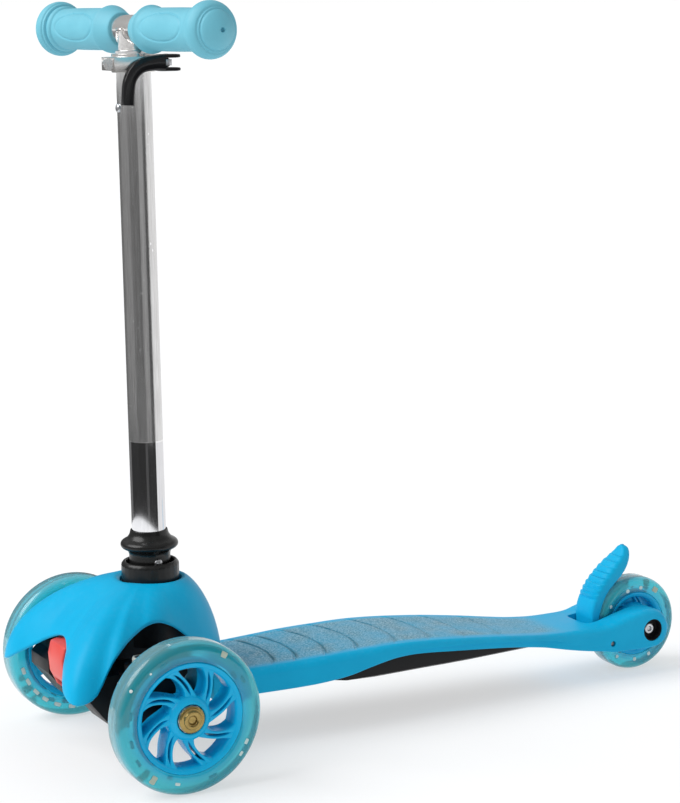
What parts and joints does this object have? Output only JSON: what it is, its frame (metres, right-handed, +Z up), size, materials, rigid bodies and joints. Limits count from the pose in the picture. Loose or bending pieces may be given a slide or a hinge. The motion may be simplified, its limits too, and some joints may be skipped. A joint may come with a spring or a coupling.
{
  "type": "three wheel kids scooter",
  "caption": "Child's lean-steered kick scooter: two wheels ahead and one behind, low footboard, telescoping stem with crossbar grips, stirrup brake over the rear wheel.",
  "frame": {"origin": "on the ground under the middle of the overall box", "axes": "+X forward, +Y to the rider's left, +Z up"},
  "size_m": [0.6057, 0.2594, 0.5922],
  "materials": {
    "body_blue": "satin moulded sky blue",
    "wheel_blue": "moulded blue",
    "grip_rubber": "soft matt light blue",
    "tyre_clear": "clear teal-tinted polyurethane",
    "light_ring": "white strip that carries the lights",
    "frame_black": "moulded black",
    "lever_black": "gloss black",
    "head_red": "satin red",
    "nut_white": "off-white",
    "stem_metal": "polished",
    "clamp_metal": "bright satin",
    "steel": "zinc plated",
    "bolt_brass": "yellow passivated, slightly worn",
    "bush_rubber": "matt"
  },
  "bodies": {
    "chassis": {"deck": "body_blue", "underframe": "frame_black", "axle_beam": "frame_black", "lean_bush": "bush_rubber", "rear_axle_bolt": "steel", "rear_axle_nut": "steel", "brake_pin_left": "steel", "brake_pin_right": "steel", "brake_spring": "steel"},
    "steering_column": {"steering_head": "frame_black", "head_cap": "head_red", "lean_bolt": "steel", "lean_nut": "steel", "front_cover": "body_blue", "collar": "frame_black", "stem_plug": "frame_black", "stem_tube": "stem_metal", "clamp_ring": "clamp_metal", "clamp_bolt": "steel", "clamp_nut": "steel", "lever_pin": "steel"},
    "handlebar_assembly": {"handlebar": "stem_metal", "grip_left": "grip_rubber", "grip_right": "grip_rubber"},
    "clamp_lever": {"clamp_lever": "lever_black"},
    "lock_button": {"lock_button": "steel"},
    "snap_button": {"snap_button": "steel"},
    "tie_rod": {"tie_rod": "steel"},
    "knuckle_left": {"knuckle_left": "frame_black", "kingpin_left": "steel", "kingpin_nut_left": "nut_white", "tie_rod_pin_left": "steel", "axle_bolt_left": "bolt_brass"},
    "knuckle_right": {"knuckle_right": "frame_black", "kingpin_right": "steel", "kingpin_nut_right": "nut_white", "tie_rod_pin_right": "steel", "axle_bolt_right": "bolt_brass"},
    "left_wheel": {"left_wheel_core": "wheel_blue", "left_wheel_tyre": "tyre_clear", "left_wheel_light_ring": "light_ring", "left_wheel_outer_bearing": "steel", "left_wheel_inner_bearing": "steel", "left_wheel_spacer": "steel"},
    "right_wheel": {"right_wheel_core": "wheel_blue", "right_wheel_tyre": "tyre_clear", "right_wheel_light_ring": "light_ring", "right_wheel_outer_bearing": "steel", "right_wheel_inner_bearing": "steel", "right_wheel_spacer": "steel"},
    "rear_wheel": {"rear_wheel_core": "wheel_blue", "rear_wheel_tyre": "tyre_clear", "rear_wheel_light_ring": "light_ring", "rear_wheel_outer_bearing": "steel", "rear_wheel_inner_bearing": "steel", "rear_wheel_spacer": "steel"},
    "brake_pedal": {"brake_pedal": "body_blue"}
  },
  "joints": [
    {"name": "lean", "type": "hinge", "parent": "chassis", "child": "steering_column", "pos_m": [0.22615, 0, 0.075], "axis": [1, 0, 0], "range_deg": [-9, 9], "stiffness_Nm_per_rad": 60},
    {"name": "tie_rod_slide", "type": "slide", "parent": "chassis", "child": "tie_rod", "axis": [0, 1, 0], "range_m": [-0.0045, 0.0045]},
    {"name": "steer_left", "type": "hinge", "parent": "chassis", "child": "knuckle_left", "pos_m": [0.24515, 0.074, 0.07], "axis": [0, 0, 1], "range_deg": [-8.7, 8.7]},
    {"name": "steer_right", "type": "hinge", "parent": "chassis", "child": "knuckle_right", "pos_m": [0.24515, -0.074, 0.07], "axis": [0, 0, 1], "range_deg": [-8.7, 8.7]},
    {"name": "left_wheel_spin", "type": "hinge", "parent": "knuckle_left", "child": "left_wheel", "pos_m": [0.22615, 0.114, 0.06], "axis": [0, 1, 0], "continuous": true},
    {"name": "right_wheel_spin", "type": "hinge", "parent": "knuckle_right", "child": "right_wheel", "pos_m": [0.22615, -0.114, 0.06], "axis": [0, 1, 0], "continuous": true},
    {"name": "rear_wheel_spin", "type": "hinge", "parent": "chassis", "child": "rear_wheel", "pos_m": [-0.26085, 0, 0.042], "axis": [0, 1, 0], "continuous": true},
    {"name": "brake_press", "type": "hinge", "parent": "chassis", "child": "brake_pedal", "pos_m": [-0.21885, 0, 0.035], "axis": [0, -1, 0], "range_deg": [0, 2.5], "stiffness_Nm_per_rad": 1.5, "springref_deg": -4.58},
    {"name": "height_slide", "type": "slide", "parent": "steering_column", "child": "handlebar_assembly", "axis": [0.014, 0, 0.9999], "range_m": [0, 0.1]},
    {"name": "clamp_release", "type": "hinge", "parent": "steering_column", "child": "clamp_lever", "pos_m": [0.18988, 0.019, 0.54553], "axis": [0.014, 0, 0.9999], "range_deg": [0, 110]},
    {"name": "lock_button_press", "type": "slide", "parent": "steering_column", "child": "lock_button", "axis": [0, -1, 0], "range_m": [0, 0.002], "stiffness_N_per_m": 500, "springref_m": -0.002},
    {"name": "snap_button_press", "type": "slide", "parent": "steering_column", "child": "snap_button", "axis": [-0.9999, 0, 0.014], "range_m": [0, 0.002], "stiffness_N_per_m": 500, "springref_m": -0.002}
  ],
  "couplings": [
    {"joint": "steer_left", "follows": "lean", "ratio": -0.9586},
    {"joint": "steer_right", "follows": "lean", "ratio": -0.9586},
    {"joint": "tie_rod_slide", "follows": "lean", "m_per_rad": 0.0278}
  ]
}
